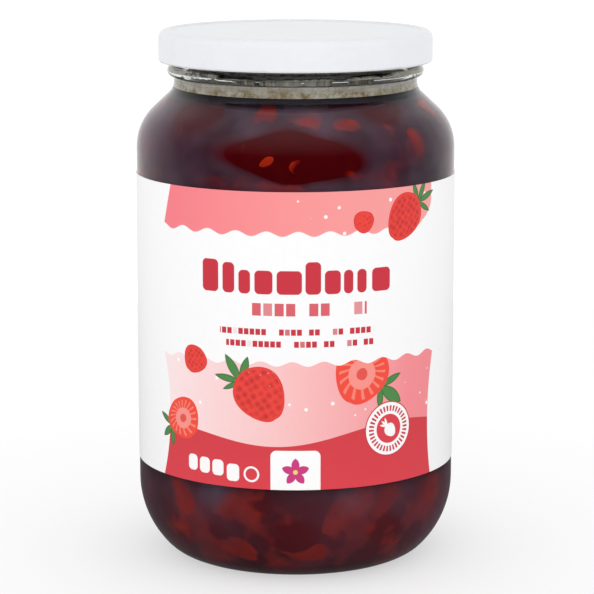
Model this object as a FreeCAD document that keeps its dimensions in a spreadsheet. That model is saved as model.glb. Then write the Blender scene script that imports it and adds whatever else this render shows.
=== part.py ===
"""Jar of fruit cocktail: a glass jar, the fruit and syrup in it, a twist-off lid and a paper wrap label.

Millimetres and degrees, +Z up. The origin is the middle of the ring that the jar stands on.
Every round piece is turned from a half section drawn in the XZ plane. The front of the label faces -Y.
"""
import FreeCAD, Part
import math
import os

import Sketcher

# %% Driving sizes. Each one can be changed by itself: the rest of the jar follows.
SIZES = {
    # jar body
    "body_radius": 48.75,
    "wall": 2.8,
    "wall_top": 126.8,  # where the straight wall ends and the shoulder begins
    # heel and floor
    "heel_height": 23.6,
    "heel_inset": 16.65,  # from the wall in to the bearing ring
    "heel_lower_round": 12.1,
    "bearing_width": 3.2,
    "push_up": 3.0,  # hollow under the floor
    "floor_thickness": 4.0,
    "floor_rise": 3.4,  # dome of the floor inside
    "inner_heel_round": 9.0,
    # shoulder
    "shoulder_inset": 11.55,  # from the wall in to the neck
    "shoulder_round": 16.4,
    "shoulder_slope": 47.4,  # turn from upright
    "neck_round": 4.7,
    # neck and finish
    "neck_wall": 2.9,
    "neck_height": 1.5,
    "bead_round": 1.95,
    "finish_step": 1.4,  # finish wall stands out from the neck
    "finish_height": 11.55,  # bead's middle to the rim
    "rim_round": 0.9,
    "thread_rise": 1.3,
    "thread_height": 1.8,
    "thread_span": 38.0,
    "thread_count": 6.0,
    # fruit and syrup
    "headspace": 17.25,  # rim down to the syrup
    # lid
    "lid_sheet": 0.3,
    "lid_round": 2.4,
    "lid_depth": 8.95,  # seat down to the lower edge
    "lid_turn": 36.0,
    "panel_inset": 0.6,  # from the finish wall in to the panel's edge
    "ring_rise": 0.4,  # raised ring round the panel
    "ring_slope": 0.4,
    "curl_round": 0.8,
    "curl_play": 0.3,  # curl outside the thread ridges
    "lug_bite": 0.7,  # lug inside the thread ridges
    "lug_height": 1.6,
    "lug_span": 24.0,
    "lug_play": 0.15,
    # label
    "label_thickness": 0.15,
    "label_foot_gap": 6.8,  # above the heel
    "label_head_gap": 7.7,  # below the shoulder
    "label_overlap": 9.4,
}

doc = FreeCAD.newDocument("fruit_cocktail_jar")
sheet = doc.addObject("Spreadsheet::Sheet", "sizes")
for row, (alias, number) in enumerate(SIZES.items(), start=1):
    sheet.set(f"A{row}", alias)
    sheet.set(f"B{row}", str(number))
    sheet.setAlias(f"B{row}", alias)
doc.recompute()


# %% A size knows its number and the expression behind it, so a drawing starts in place and stays bound.
class Size:
    """A cell of the sheet, or what is worked out from cells."""

    def __init__(self, number, text):
        self.number = number
        self.text = text

    def __add__(self, other):
        other = size(other)
        return Size(self.number + other.number, f"({self.text} + {other.text})")

    def __sub__(self, other):
        other = size(other)
        return Size(self.number - other.number, f"({self.text} - {other.text})")

    def __mul__(self, other):
        other = size(other)
        return Size(self.number * other.number, f"{self.text} * {other.text}")

    def __truediv__(self, other):
        other = size(other)
        return Size(self.number / other.number, f"{self.text} / ({other.text})")

    def __neg__(self):
        return size(0) - self

    def __rsub__(self, other):
        return size(other) - self

    __rmul__ = __mul__


def size(value):
    """A plain number becomes a Size; a Size stays one."""
    return value if isinstance(value, Size) else Size(float(value), repr(float(value)))


def cell(alias):
    return Size(float(sheet.get(alias)), f"sizes.{alias}")


def root(value):
    return Size(math.sqrt(value.number), f"sqrt({value.text})")


def sine(angle):
    return Size(math.sin(math.radians(angle.number)), f"sin({angle.text})")


def cosine(angle):
    return Size(math.cos(math.radians(angle.number)), f"cos({angle.text})")


class Outline:
    """A closed sketch in a body's XZ plane, drawn from point to point, each point bound to the sheet."""

    ORIGIN = (-1, 1)
    RADIUS_AXIS = -1
    TURNING_AXIS = -2

    def __init__(self, body, name, radius, height):
        self.sketch = body.newObject("Sketcher::SketchObject", name)
        plane = next(item for item in body.Origin.OriginFeatures if item.Role == "XZ_Plane")
        self.sketch.AttachmentSupport = [(plane, "")]
        self.sketch.MapMode = "FlatFace"
        self.first = (size(radius), size(height))
        self.last = self.first
        self.edges = []

    def line(self, radius, height):
        end = (size(radius), size(height))
        self._edge(Part.LineSegment(vector(self.last), vector(end)), end, 1, 2)

    def arc(self, radius, height, bend, turn):
        """An arc of under half a turn; turn is +1 when it runs anticlockwise and -1 when clockwise."""
        end = (size(radius), size(height))
        start_point, end_point = vector(self.last), vector(end)
        chord = end_point - start_point
        reach = math.sqrt(max(bend.number**2 - (chord.Length / 2) ** 2, 0.0))
        middle = (start_point + end_point) * 0.5
        across = FreeCAD.Vector(-chord.y, chord.x, 0).normalize()
        centre = middle + across * (reach * turn)
        low, high = (start_point, end_point) if turn > 0 else (end_point, start_point)
        angles = [math.atan2(point.y - centre.y, point.x - centre.x) for point in (low, high)]
        circle = Part.Circle(centre, FreeCAD.Vector(0, 0, 1), bend.number)
        ends = (1, 2) if turn > 0 else (2, 1)
        index = self._edge(Part.ArcOfCircle(circle, *angles), end, *ends)
        self._bind("Radius", (index,), bend)

    def close(self):
        """A line back to the first point."""
        index = self.sketch.addGeometry(Part.LineSegment(vector(self.last), vector(self.first)), False)
        self._join(index, 1)
        self.sketch.addConstraint(Sketcher.Constraint("Coincident", index, 2, *self.edges[0][:2]))
        return self.sketch

    def _edge(self, shape, end, start_end, far_end):
        index = self.sketch.addGeometry(shape, False)
        if self.edges:
            self._join(index, start_end)
        else:
            self._place(index, start_end, self.first)
        self.edges.append((index, start_end, far_end))
        self._place(index, far_end, end)
        self.last = end
        return index

    def _join(self, index, start_end):
        before, _, before_end = self.edges[-1]
        self.sketch.addConstraint(Sketcher.Constraint("Coincident", before, before_end, index, start_end))

    def _place(self, index, which, point):
        for kind, value, axis in (
            ("DistanceX", point[0], self.TURNING_AXIS),
            ("DistanceY", point[1], self.RADIUS_AXIS),
        ):
            if value.text == "0.0":
                self.sketch.addConstraint(Sketcher.Constraint("PointOnObject", index, which, axis))
            else:
                self._bind(kind, (*self.ORIGIN, index, which), value)

    def _bind(self, kind, targets, value):
        number = self.sketch.addConstraint(Sketcher.Constraint(kind, *targets, value.number))
        self.sketch.setExpression(f"Constraints[{number}]", value.text)


def vector(point):
    return FreeCAD.Vector(point[0].number, point[1].number, 0)


def turned(body, name, sketch, angle=None):
    """Material turned about the upright axis, all round or over a span centred on the section."""
    feature = body.newObject("PartDesign::Revolution", name)
    spin(feature, sketch, angle)
    return feature


def hollowed(body, name, sketch):
    """Material cut away all round the upright axis."""
    feature = body.newObject("PartDesign::Groove", name)
    spin(feature, sketch, None)
    return feature


def spin(feature, sketch, angle):
    feature.Profile = sketch
    feature.ReferenceAxis = (sketch, ["V_Axis"])
    sketch.Visibility = False
    if angle is None:
        feature.Angle = 360.0
    else:
        feature.Midplane = True
        feature.Angle = angle.number
        feature.setExpression("Angle", angle.text)


def repeated(body, name, feature, sketch, count):
    """Copies of a feature, evenly spaced round the upright axis."""
    pattern = body.newObject("PartDesign::PolarPattern", name)
    pattern.Originals = [feature]
    pattern.Axis = (sketch, ["V_Axis"])
    pattern.Angle = 360.0
    pattern.Occurrences = round(count.number)
    pattern.setExpression("Occurrences", count.text)
    body.Tip = pattern
    return pattern


def new_body(label):
    body = doc.addObject("PartDesign::Body", label)
    body.Label = label
    return body


# %% Where the pieces meet.
body_radius = cell("body_radius")
wall = cell("wall")
wall_top = cell("wall_top")
floor = cell("floor_thickness")
heel_height = cell("heel_height")
slope = cell("shoulder_slope")

# The heel is two arcs. The upper one is as large as makes both run smoothly into the wall and the stand.
heel_low = cell("heel_lower_round")
heel_over = cell("heel_inset") - heel_low
heel_up = heel_height - heel_low
heel_spread = (heel_up * heel_up + heel_over * heel_over) / (2 * heel_over)
heel_upper_round = heel_low + heel_spread
heel_middle = body_radius - heel_upper_round
stand_radius = body_radius - cell("heel_inset")

neck_radius = body_radius - cell("shoulder_inset")
bore_radius = neck_radius - cell("neck_wall")
finish_radius = neck_radius + cell("finish_step")
thread_radius = finish_radius + cell("thread_rise")


def shoulder(start_radius, end_radius, first_round, second_round):
    """Points of a shoulder: end of its first arc, start of its second arc, and foot of the neck."""
    side = 1 - cosine(slope)
    straight = (start_radius - end_radius - (first_round + second_round) * side) / sine(slope)
    crest = (start_radius - first_round * side, wall_top + first_round * sine(slope))
    hollow = (crest[0] - straight * sine(slope), crest[1] + straight * cosine(slope))
    foot = (end_radius, hollow[1] + second_round * sine(slope))
    return crest, hollow, foot


crest, hollow, neck_foot = shoulder(body_radius, neck_radius, cell("shoulder_round"), cell("neck_round"))
bead_middle = neck_foot[1] + cell("neck_height") + cell("bead_round")
rim = bead_middle + cell("finish_height")
level = rim - cell("headspace")


def draw_inside(body, name):
    """Half section of the inside of the jar, from the middle of the floor up to the bore."""
    inner_round = cell("inner_heel_round")
    shell_round = heel_upper_round - wall
    spread = shell_round - inner_round
    drop = heel_height - floor - inner_round
    across = root(spread * spread - drop * drop)
    edge = heel_middle + across
    joint = (edge + inner_round * across / spread, floor + inner_round - inner_round * drop / spread)
    rise = cell("floor_rise")
    first_round = cell("shoulder_round") - wall
    second_round = cell("neck_round") + cell("neck_wall")
    inner_crest, inner_hollow, foot = shoulder(body_radius - wall, bore_radius, first_round, second_round)

    outline = Outline(body, name, 0, floor + rise)
    outline.arc(edge, floor, (edge * edge + rise * rise) / (2 * rise), -1)
    outline.arc(*joint, inner_round, 1)
    outline.arc(body_radius - wall, heel_height, shell_round, 1)
    outline.line(body_radius - wall, wall_top)
    outline.arc(*inner_crest, first_round, 1)
    outline.line(*inner_hollow)
    outline.arc(*foot, second_round, -1)
    return outline


# %% Glass jar: the outside is turned solid, the inside is turned away, and the thread ridges are added.
glass_jar = new_body("glass_jar")
stand_inner = stand_radius - cell("bearing_width")
push_up = cell("push_up")
heel_joint_side = (heel_upper_round - cell("heel_inset")) / heel_spread
heel_joint_drop = heel_up / heel_spread
bead_round = cell("bead_round")
rim_round = cell("rim_round")

outside = Outline(glass_jar, "outside", 0, push_up)
outside.arc(stand_inner, 0, (stand_inner * stand_inner + push_up * push_up) / (2 * push_up), -1)
outside.line(stand_radius, 0)
outside.arc(stand_radius + heel_low * heel_joint_side, heel_low - heel_low * heel_joint_drop, heel_low, 1)
outside.arc(body_radius, heel_height, heel_upper_round, 1)
outside.line(body_radius, wall_top)
outside.arc(*crest, cell("shoulder_round"), 1)
outside.line(*hollow)
outside.arc(*neck_foot, cell("neck_round"), -1)
outside.line(neck_radius, bead_middle - bead_round)
outside.arc(neck_radius + bead_round, bead_middle, bead_round, 1)
bead_run_out = root(bead_round * bead_round - cell("finish_step") * cell("finish_step"))
outside.arc(finish_radius, bead_middle + bead_run_out, bead_round, 1)
outside.line(finish_radius, rim - rim_round)
outside.arc(finish_radius - rim_round, rim, rim_round, 1)
outside.line(0, rim)
turned(glass_jar, "blank", outside.close())

inside = draw_inside(glass_jar, "inside")
inside.line(bore_radius, rim - rim_round)
inside.arc(bore_radius + rim_round, rim, rim_round, -1)
inside.line(bore_radius + rim_round, rim + rim_round)
inside.line(0, rim + rim_round)
hollowed(glass_jar, "bore", inside.close())

# A ridge starts inside the finish wall, so that it grows out of the glass, and its two flanks slope.
root_depth = 0.4
flank = cell("thread_height") / 4
thread_foot = rim - cell("lid_depth") + cell("lug_height") + cell("lug_play")
thread_head = thread_foot + cell("thread_height")
ridge = Outline(glass_jar, "ridge", finish_radius - root_depth, thread_foot)
ridge.line(finish_radius, thread_foot)
ridge.line(thread_radius, thread_foot + flank)
ridge.line(thread_radius, thread_head - flank)
ridge.line(finish_radius, thread_head)
ridge.line(finish_radius - root_depth, thread_head)
ridge_sketch = ridge.close()
first_ridge = turned(glass_jar, "first_ridge", ridge_sketch, cell("thread_span"))
repeated(glass_jar, "thread", first_ridge, ridge_sketch, cell("thread_count"))

# %% Contents: fruit and syrup fill the inside up to their level.
contents = new_body("contents")
filling = draw_inside(contents, "filling")
filling.line(bore_radius, rim)
filling.line(0, rim)
turned(contents, "full_inside", filling.close())
headroom = Outline(contents, "headroom", 0, level)
headroom.line(body_radius, level)
headroom.line(body_radius, rim + wall)
headroom.line(0, rim + wall)
hollowed(contents, "free_space", headroom.close())

# %% Lid: drawn with its seat at height 0, then set on the rim.
lid = new_body("lid")
lid.Placement = FreeCAD.Placement(
    FreeCAD.Vector(0, 0, rim.number),
    FreeCAD.Rotation(FreeCAD.Vector(0, 0, 1), cell("lid_turn").number),
)
lid.setExpression("Placement.Base.z", rim.text)
lid.setExpression("Placement.Rotation.Angle", "sizes.lid_turn")
metal = cell("lid_sheet")
lid_round = cell("lid_round")
curl_round = cell("curl_round")
ring_rise = cell("ring_rise")
panel_radius = finish_radius - cell("panel_inset")
ring_foot = panel_radius + cell("ring_slope")
lid_radius = thread_radius + cell("curl_play") + 2 * curl_round
lid_top = metal + ring_rise
curl_middle = curl_round - cell("lid_depth")
curl_overhang = curl_round - metal
curl_meets_skirt = root(curl_round * curl_round - curl_overhang * curl_overhang)

shell = Outline(lid, "shell", 0, metal)
shell.line(0, 0)
shell.line(ring_foot, 0)
shell.line(ring_foot + cell("ring_slope"), ring_rise)
shell.line(lid_radius - lid_round, ring_rise)
shell.arc(lid_radius - metal, lid_top - lid_round, lid_round - metal, -1)
shell.line(lid_radius - metal, curl_middle + curl_meets_skirt)
shell.arc(lid_radius - 2 * curl_round, curl_middle, curl_round, 1)
shell.arc(lid_radius - curl_round, curl_middle - curl_round, curl_round, 1)
shell.arc(lid_radius, curl_middle, curl_round, 1)
shell.line(lid_radius, lid_top - lid_round)
shell.arc(lid_radius - lid_round, lid_top, lid_round, 1)
shell.line(ring_foot, lid_top)
shell.line(panel_radius, metal)
turned(lid, "pressed_sheet", shell.close())

# The lugs are lengths of the curl bent in under the thread ridges.
lug_radius = thread_radius - cell("lug_bite")
lug_foot = -cell("lid_depth")
lug = Outline(lid, "lug", lug_radius, lug_foot + curl_round)
lug.line(lug_radius + curl_round, lug_foot)
lug.line(lid_radius - curl_round, lug_foot)
lug.line(lid_radius - curl_round, lug_foot + cell("lug_height"))
lug.line(lug_radius, lug_foot + cell("lug_height"))
lug_sketch = lug.close()
first_lug = turned(lid, "first_lug", lug_sketch, cell("lug_span"))
repeated(lid, "lugs", first_lug, lug_sketch, cell("thread_count"))

# %% Label: one turn of paper, lapped over itself at the back.
label = new_body("label")
label_foot = heel_height + cell("label_foot_gap")
label_height = wall_top - cell("label_head_gap") - label_foot
to_the_back = 90.0
label.Placement = FreeCAD.Placement(
    FreeCAD.Vector(0, 0, label_foot.number),
    FreeCAD.Rotation(FreeCAD.Vector(0, 0, 1), to_the_back),
)
label.setExpression("Placement.Base.z", label_foot.text)


def draw_paper(name, radius):
    paper = Outline(label, name, radius, 0)
    paper.line(radius + cell("label_thickness"), 0)
    paper.line(radius + cell("label_thickness"), label_height)
    paper.line(radius, label_height)
    return paper.close()


turned(label, "wrap", draw_paper("wrap_section", body_radius))
lap_section = draw_paper("lap_section", body_radius + cell("label_thickness"))
turned(label, "lap", lap_section, cell("label_overlap"))

# %% Every object has to be sound before any piece is written.
doc.recompute()
failed = [item.Name for item in doc.Objects if {"Invalid", "Error"} & set(item.State)]
if failed:
    raise RuntimeError(f"these objects could not be made: {failed}")
pieces = (glass_jar, contents, lid, label)
for piece in pieces:
    if piece.Shape.isNull() or not piece.Shape.isValid():
        raise RuntimeError(f"{piece.Label} has no sound shape")

os.makedirs("parts", exist_ok=True)
for piece in pieces:
    piece.Shape.exportStep(f"parts/{piece.Label}.step")
    box = piece.Shape.BoundBox
    print(
        f"{piece.Label}: {len(piece.Shape.Solids)} solid, {piece.Shape.Volume / 1000:.1f} ml, "
        f"z {box.ZMin:.2f} to {box.ZMax:.2f}, {box.XLength:.2f} x {box.YLength:.2f}"
    )
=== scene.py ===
# %% [markdown]
# # A jar of fruit cocktail
# A shut glass jar: strawberries in dark syrup, a white twist-off lid and a printed paper label.
# The solids come from the frame, in metres. The jar, the lid and the label keep their solids, because
# a turned shape is already exact there, and get finishes. What fills the jar is modelled here.

# %% Load the solids
import math
import random

import bpy
from mathutils import Matrix, Vector
from mathutils.bvhtree import BVHTree


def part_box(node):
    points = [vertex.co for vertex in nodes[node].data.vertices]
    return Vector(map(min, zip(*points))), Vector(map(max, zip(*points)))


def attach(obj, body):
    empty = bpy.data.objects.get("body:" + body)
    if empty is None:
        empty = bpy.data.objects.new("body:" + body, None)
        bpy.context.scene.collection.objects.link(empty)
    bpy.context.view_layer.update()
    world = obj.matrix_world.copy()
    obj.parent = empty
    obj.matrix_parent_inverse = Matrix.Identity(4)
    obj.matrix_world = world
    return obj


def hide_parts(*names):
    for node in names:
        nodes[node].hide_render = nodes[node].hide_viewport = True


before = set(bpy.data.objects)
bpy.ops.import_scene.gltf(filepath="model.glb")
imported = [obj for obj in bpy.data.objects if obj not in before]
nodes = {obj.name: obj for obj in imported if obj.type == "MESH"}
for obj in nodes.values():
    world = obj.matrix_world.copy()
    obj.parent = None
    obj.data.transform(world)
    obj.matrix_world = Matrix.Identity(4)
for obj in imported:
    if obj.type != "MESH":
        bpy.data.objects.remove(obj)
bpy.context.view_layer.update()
scene = bpy.context.scene

MM = 0.001
jar_low, jar_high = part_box("glass_jar")
label_low, label_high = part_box("label")
lid_low, lid_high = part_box("lid")
fill_low, fill_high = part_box("contents")
BODY_RADIUS = jar_high.x
LEVEL = fill_high.z
print(f"jar radius {BODY_RADIUS:.4f} m, filled to {LEVEL:.4f} m, {lid_high.z:.4f} m high")

# %% [markdown]
# ## The camera
# It looks slightly down on the jar from a long way off, so the sides stay nearly upright.
# Its distance and height are set in jar radii above the foot of the label.

# %% Set up the camera
EYE_DISTANCE = 16 * BODY_RADIUS
EYE_HEIGHT = label_low.z + 3.969 * BODY_RADIUS
EYE_SIDE = 0.45 * MM
LOOK_DOWN = math.radians(10.5)

camera_data = bpy.data.cameras.new("camera")
camera_data.sensor_width = 36.0
camera_data.lens = 154.9
camera_data.clip_end = 20
camera = bpy.data.objects.new("camera", camera_data)
camera.location = (EYE_SIDE, -EYE_DISTANCE, EYE_HEIGHT)
camera.rotation_euler = (math.radians(90) - LOOK_DOWN, 0, 0)
scene.collection.objects.link(camera)
scene.camera = camera

# %% [markdown]
# ## Shader maths
# A print is many small sums. `Value` wraps a socket so that a sum reads as a sum, and `Finish` holds
# one material and adds any other node.


# %% Make shader maths readable
class Value:
    """A number on its way through a material."""

    def __init__(self, finish, socket):
        self.finish = finish
        self.socket = socket

    def maths(self, operation, *others, clamp=False):
        settings = {"operation": operation, "use_clamp": clamp}
        return self.finish.node("ShaderNodeMath", settings, dict(enumerate((self, *others))))

    def __add__(self, other):
        return self.maths("ADD", other)

    def __sub__(self, other):
        return self.maths("SUBTRACT", other)

    def __rsub__(self, other):
        return self.finish.node("ShaderNodeMath", {"operation": "SUBTRACT"}, {0: other, 1: self})

    def __mul__(self, other):
        return self.maths("MULTIPLY", other)

    def __truediv__(self, other):
        return self.maths("DIVIDE", other)

    def __neg__(self):
        return self * -1

    def __abs__(self):
        return self.maths("ABSOLUTE")

    __radd__ = __add__
    __rmul__ = __mul__

    def lowest(self, other):
        return self.maths("MINIMUM", other)

    def highest(self, other):
        return self.maths("MAXIMUM", other)

    def held(self):
        """Kept between 0 and 1."""
        return self.maths("ADD", 0.0, clamp=True)

    def edge(self, softness):
        """0 below nought and 1 above it, with a soft edge as wide as softness."""
        return (self / softness + 0.5).held()


class Finish:
    """A material and its nodes."""

    def __init__(self, name):
        self.material = bpy.data.materials.new(name)
        self.material.use_nodes = True
        self.tree = self.material.node_tree
        self.tree.nodes.clear()

    def node(self, kind, settings=None, inputs=None, output=0):
        """Adds a node, its settings first, then its values and links, and gives one of its outputs."""
        made = self.tree.nodes.new(kind)
        for name, value in (settings or {}).items():
            if name == "stops":
                self._stops(made.color_ramp, value)
            else:
                setattr(made, name, value)
        for key, value in (inputs or {}).items():
            if isinstance(value, Value):
                self.tree.links.new(value.socket, made.inputs[key])
            else:
                made.inputs[key].default_value = value
        return Value(self, made.outputs[output]) if len(made.outputs) else None

    def _stops(self, ramp, stops):
        while len(ramp.elements) < len(stops):
            ramp.elements.new(0.5)
        for element, (position, colour) in zip(ramp.elements, stops):
            element.position = position
            element.color = colour

    def parts(self, vector):
        """X, Y and Z of a vector."""
        first = self.node("ShaderNodeSeparateXYZ", None, {0: vector})
        return [Value(self, socket) for socket in first.socket.node.outputs]

    def place(self):
        """Object coordinates and their X, Y and Z."""
        point = self.node("ShaderNodeTexCoord", output="Object")
        return point, *self.parts(point)

    def noise(self, point, scale, detail=2.0, roughness=0.5):
        inputs = {"Vector": point, "Scale": scale, "Detail": detail, "Roughness": roughness}
        return self.node("ShaderNodeTexNoise", None, inputs, "Fac")

    def mix(self, amount, first, second):
        """One colour where amount is 0, another where it is 1: sockets 6, 7 and 2 are the colour ones."""
        return self.node("ShaderNodeMix", {"data_type": "RGBA"}, {0: amount, 6: first, 7: second}, 2)

    def bump(self, height, distance, strength=1.0):
        inputs = {"Height": height, "Distance": distance, "Strength": strength}
        return self.node("ShaderNodeBump", None, inputs, "Normal")

    def principled(self, **inputs):
        named = {key.replace("_", " "): value for key, value in inputs.items()}
        return self.node("ShaderNodeBsdfPrincipled", None, named)

    def output(self, shader, **volume):
        self.node("ShaderNodeOutputMaterial", None, {"Surface": shader, **volume})
        return self.material


def colour(red, green, blue):
    """An sRGB colour in 0 to 255 as the linear colour that a socket takes."""

    def linear(part):
        part /= 255
        return part / 12.92 if part <= 0.04045 else ((part + 0.055) / 1.055) ** 2.4

    return (linear(red), linear(green), linear(blue), 1.0)


def wear(piece, *materials):
    """Gives a piece its materials, in place of those it has."""
    piece.data.materials.clear()
    for material in materials:
        piece.data.materials.append(material)


def deselect():
    if bpy.context.mode != "OBJECT":
        bpy.ops.object.mode_set(mode="OBJECT")
    bpy.ops.object.select_all(action="DESELECT")


def choose(piece):
    """Selects one piece alone and makes it the active one."""
    deselect()
    piece.select_set(True)
    bpy.context.view_layer.objects.active = piece


# %% [markdown]
# ## Clear glass
# Jar glass is faintly green, which shows where the eye looks along the wall. Its surface is slightly
# wavy, two mould halves leave a fine seam, and the ring it stands on is knurled. Lamps shine through
# it: for a shadow ray the glass is plain see-through, so that the fruit inside is lit.


# %% Finish the glass
SEAM_TURN = math.radians(-47)  # right of the front; the other mould seam is opposite
SEAM_WIDTH = 0.5 * MM
KNURL_COUNT = 150
KNURL_INNER = 28.9 * MM
KNURL_OUTER = 33.5 * MM


def glass_finish():
    glass = Finish("jar_glass")
    point, x, y, z = glass.place()
    around = y.maths("ARCTAN2", x)
    radius = (x * x + y * y).maths("SQRT")

    seam_side = abs((around - SEAM_TURN).maths("SINE")) * BODY_RADIUS
    seam = (1 - seam_side / SEAM_WIDTH).held() * 0.25
    knurls = (around * KNURL_COUNT).maths("SINE")
    ring = (radius - KNURL_INNER).edge(0.5 * MM) * (KNURL_OUTER - radius).edge(0.5 * MM)
    ring = ring * (2 * MM - z).edge(MM)
    waves = glass.noise(point, 55.0, 1.0)
    height = waves * 0.5 + seam + knurls * ring * 0.6

    surface = glass.principled(
        Base_Color=(0.985, 0.992, 0.988, 1),
        Roughness=0.0,
        IOR=1.5,
        Transmission_Weight=1.0,
        Normal=glass.bump(height, 0.12 * MM),
    )
    see_through = glass.node("ShaderNodeBsdfTransparent", None, {"Color": (0.95, 0.965, 0.96, 1)})
    shadow_ray = glass.node("ShaderNodeLightPath", output="Is Shadow Ray")
    mixed = glass.node("ShaderNodeMixShader", None, {0: shadow_ray, 1: surface, 2: see_through})
    tint = glass.node("ShaderNodeVolumeAbsorption", None, {"Color": (0.55, 0.86, 0.80, 1), "Density": 8.0})
    return glass.output(mixed, Volume=tint)


wear(nodes["glass_jar"], glass_finish())

# %% [markdown]
# ## Lid
# The lid is tinplate: white enamel outside, gold lacquer inside. The gold shows through the neck.


# %% Finish the lid
def lid_finish():
    enamel = Finish("lid_enamel")
    point, x, y, z = enamel.place()
    radius = (x * x + y * y).maths("SQRT")
    facing = enamel.node("ShaderNodeNewGeometry", output="Normal")
    facing_x, facing_y, facing_z = enamel.parts(facing)
    facing_out = (facing_x * x + facing_y * y) / radius
    curl = (lid_low.z + 1.7 * MM - z).edge(0.1 * MM)
    under_panel = (-facing_z - facing_out.highest(0) * 2 - 0.2).edge(0.1)
    inside_skirt = (-facing_out - 0.2).edge(0.1) * (lid_high.z - 1.3 * MM - z).edge(0.1 * MM)
    gold_amount = under_panel.highest(inside_skirt) * (1 - curl)

    streaks = enamel.noise(point, 420.0, 3.0, 0.6)
    mottle = enamel.noise(point, 90.0, 2.0)
    white = enamel.mix(streaks * 0.5 + mottle * 0.5, colour(229, 231, 236), colour(241, 243, 246))
    gold = enamel.mix(mottle, colour(128, 104, 62), colour(160, 136, 88))
    surface = enamel.principled(
        Base_Color=enamel.mix(gold_amount, white, gold),
        Roughness=(0.30 + 0.12 * streaks),
        Coat_Weight=0.35,
        Coat_Roughness=0.12,
        Normal=enamel.bump(streaks + mottle * 2, 0.02 * MM),
    )
    return enamel.output(surface)


wear(nodes["lid"], lid_finish())

# %% [markdown]
# ## The shape of the inside
# The solid that fills the jar was turned, so its points lie in rings. One half section read from the
# rings gives the radius of the inner wall at any height.

# %% Read the half section of the filling
section_middle = Vector((0.4 * fill_high.x, 0.5 * (fill_low.z + LEVEL)))
rings = {(round(math.hypot(p.co.x, p.co.y), 5), round(p.co.z, 5)) for p in nodes["contents"].data.vertices}


def turn_from_below(ring):
    return math.atan2(ring[0] - section_middle.x, section_middle.y - ring[1])


half_section = [Vector(ring) for ring in sorted(rings, key=turn_from_below)]
ABOVE_FLOOR = fill_low.z + 0.1 * MM
OUTSIDE_FLOOR = 32 * MM
wall_rings = [ring for ring in half_section if ring.y > ABOVE_FLOOR and ring.x > OUTSIDE_FLOOR]
wall_rings.sort(key=lambda ring: ring.y)


def wall_radius(height):
    """Radius of the inner wall at a height."""
    for low, high in zip(wall_rings, wall_rings[1:]):
        if low.y <= height <= high.y:
            share = (height - low.y) / max(high.y - low.y, 1e-9)
            return low.x + (high.x - low.x) * share
    return wall_rings[0].x if height < wall_rings[0].y else wall_rings[-1].x


print(f"{len(half_section)} rings, inner radius {wall_radius(0.08) / MM:.2f} mm")

# %% [markdown]
# ## Syrup
# The syrup is dark and cloudy, so fruit shows only where it comes near the glass. It could be a
# see-through volume, but a cloudy one is slow and grainy. Here it is a turned body with a dense skin,
# and each point of the skin is told how much fruit lies close behind it. The body reaches a quarter
# of a millimetre into the glass, so that no air shows between the two.


# %% Turn the syrup
def evenly(points, step):
    """The same line of points with even steps along it."""
    even = [points[0]]
    for start, end in zip(points, points[1:]):
        count = max(1, round((end - start).length / step))
        even += [start.lerp(end, k / count) for k in range(1, count + 1)]
    return even


def turned(name, outline, steps):
    """A skin turned about the upright axis from points of radius and height."""
    deselect()
    bpy.ops.mesh.primitive_plane_add(size=0.001, location=(outline[0][0], 0, outline[0][1]))
    piece = bpy.context.object
    piece.name = name
    bpy.ops.object.mode_set(mode="EDIT")
    bpy.ops.mesh.merge(type="CENTER")
    for (radius, height), (next_radius, next_height) in zip(outline, outline[1:]):
        move = (next_radius - radius, 0, next_height - height)
        bpy.ops.mesh.extrude_region_move(TRANSFORM_OT_translate={"value": move})
    bpy.ops.mesh.select_all(action="SELECT")
    bpy.ops.mesh.spin(steps=steps, angle=math.tau, center=(0, 0, 0), axis=(0, 0, 1))
    bpy.ops.mesh.select_all(action="SELECT")
    bpy.ops.mesh.remove_doubles(threshold=0.00002)
    bpy.ops.mesh.normals_make_consistent(inside=False)
    bpy.ops.object.mode_set(mode="OBJECT")
    bpy.ops.object.transform_apply(location=True, rotation=True, scale=True)
    bpy.ops.object.shade_smooth()
    return piece


INTO_GLASS = 0.25 * MM
SKIN_STEP = 0.9 * MM
MENISCUS = 0.9 * MM
skin = [half_section[0] - Vector((0, INTO_GLASS))]
for before, ring, after in zip(half_section, half_section[1:], half_section[2:]):
    along = (after - before).normalized()
    skin.append(ring + Vector((along.y, -along.x)) * INTO_GLASS)
skin.append(Vector((wall_radius(LEVEL) + INTO_GLASS, LEVEL - 0.05 * MM)))
surface_line = [
    Vector((wall_radius(LEVEL) * share, LEVEL - MENISCUS * (1 - share**14)))
    for share in (0.985, 0.96, 0.93, 0.88, 0.8, 0.6, 0.4, 0.2, 0)
]
outline = evenly(skin, SKIN_STEP) + surface_line
syrup = turned("syrup", [tuple(point) for point in outline], 300)
print(f"syrup has {len(syrup.data.polygons)} faces")

# %% [markdown]
# ## Froth
# Where the syrup meets the neck a ring of fine pale froth has dried on the glass. It is a turned
# ring, made uneven by small steps of its edge, with a grainy finish.

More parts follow.
